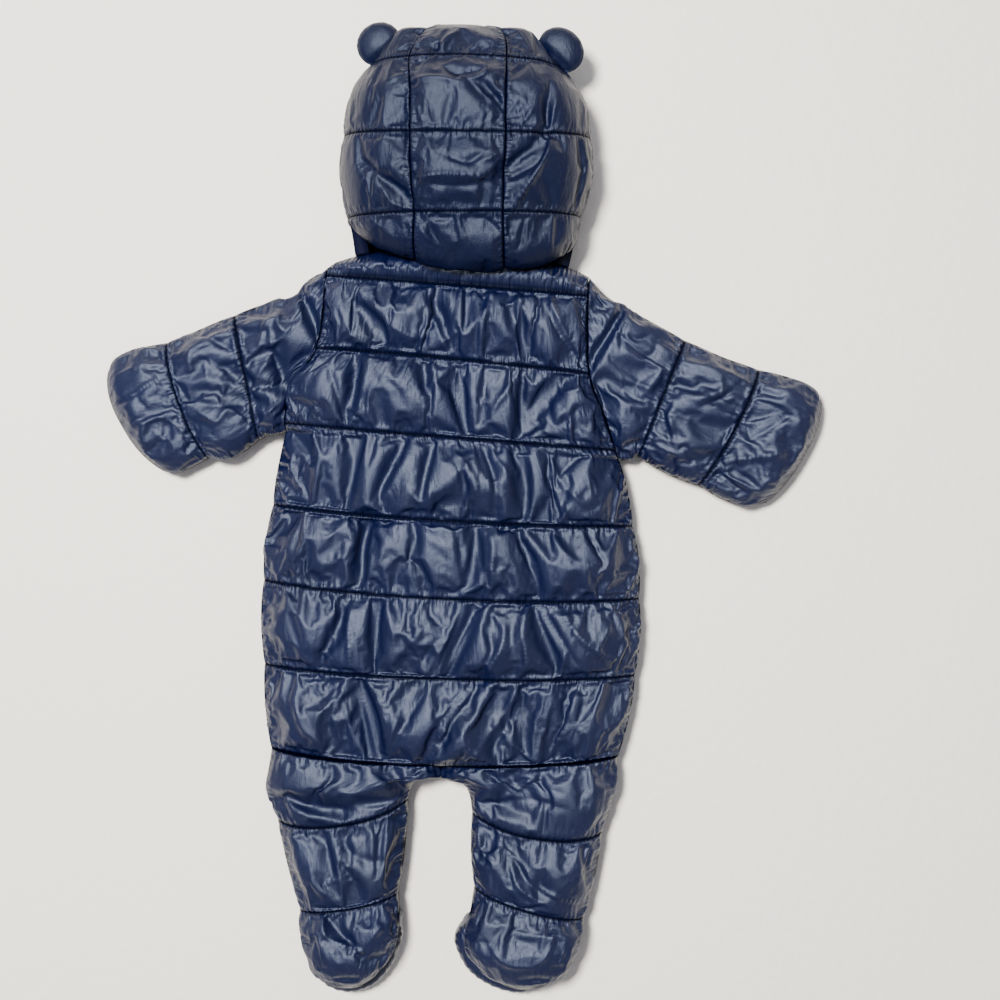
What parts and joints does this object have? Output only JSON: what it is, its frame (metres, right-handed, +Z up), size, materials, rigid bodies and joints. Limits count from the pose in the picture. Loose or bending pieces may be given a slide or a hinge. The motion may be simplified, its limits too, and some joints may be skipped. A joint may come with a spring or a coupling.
{
  "type": "baby snowsuit",
  "caption": "Quilted padded baby snowsuit laid face down, with a domed hood, round ears, spread sleeves, closed feet and a front zip.",
  "frame": {"origin": "middle of the outline in plan, on the surface the snowsuit lies on", "axes": "+Z up out of the back of the snowsuit, +Y from the feet to the crown of the hood, +X to its right sleeve, which lies to the right as seen from above, because the back is up"},
  "size_m": [0.506, 0.6812, 0.0909],
  "materials": {
    "quilted_shell": "glossy navy woven nylon, downproof, lightly puckered at its stitching",
    "brim_binding": "dark navy satin binding",
    "zip_tape": "matt navy woven tape",
    "zip_coil": "navy moulded coil",
    "zip_metal": "navy enamelled metal"
  },
  "bodies": {
    "suit": {"back_panel": "quilted_shell", "zip_tape": "zip_tape", "zip_chain": "zip_coil", "zip_slider": "zip_metal", "front_left": "quilted_shell", "sleeve_left": "quilted_shell", "leg_left": "quilted_shell", "sole_left": "quilted_shell", "front_right": "quilted_shell", "sleeve_right": "quilted_shell", "leg_right": "quilted_shell", "sole_right": "quilted_shell", "hood_side_left": "quilted_shell", "hood_middle": "quilted_shell", "hood_side_right": "quilted_shell", "hood_brim_left": "brim_binding", "ear_left": "quilted_shell", "hood_brim_right": "brim_binding", "ear_right": "quilted_shell"},
    "pull": {"zip_pull": "zip_metal"}
  },
  "joints": [
    {"name": "pull_swing", "type": "hinge", "parent": "suit", "child": "pull", "pos_m": [-0.00149, 0.16381, 0.00495], "axis": [0.9994, -0.0352, 0], "range_deg": [0, 180]}
  ]
}
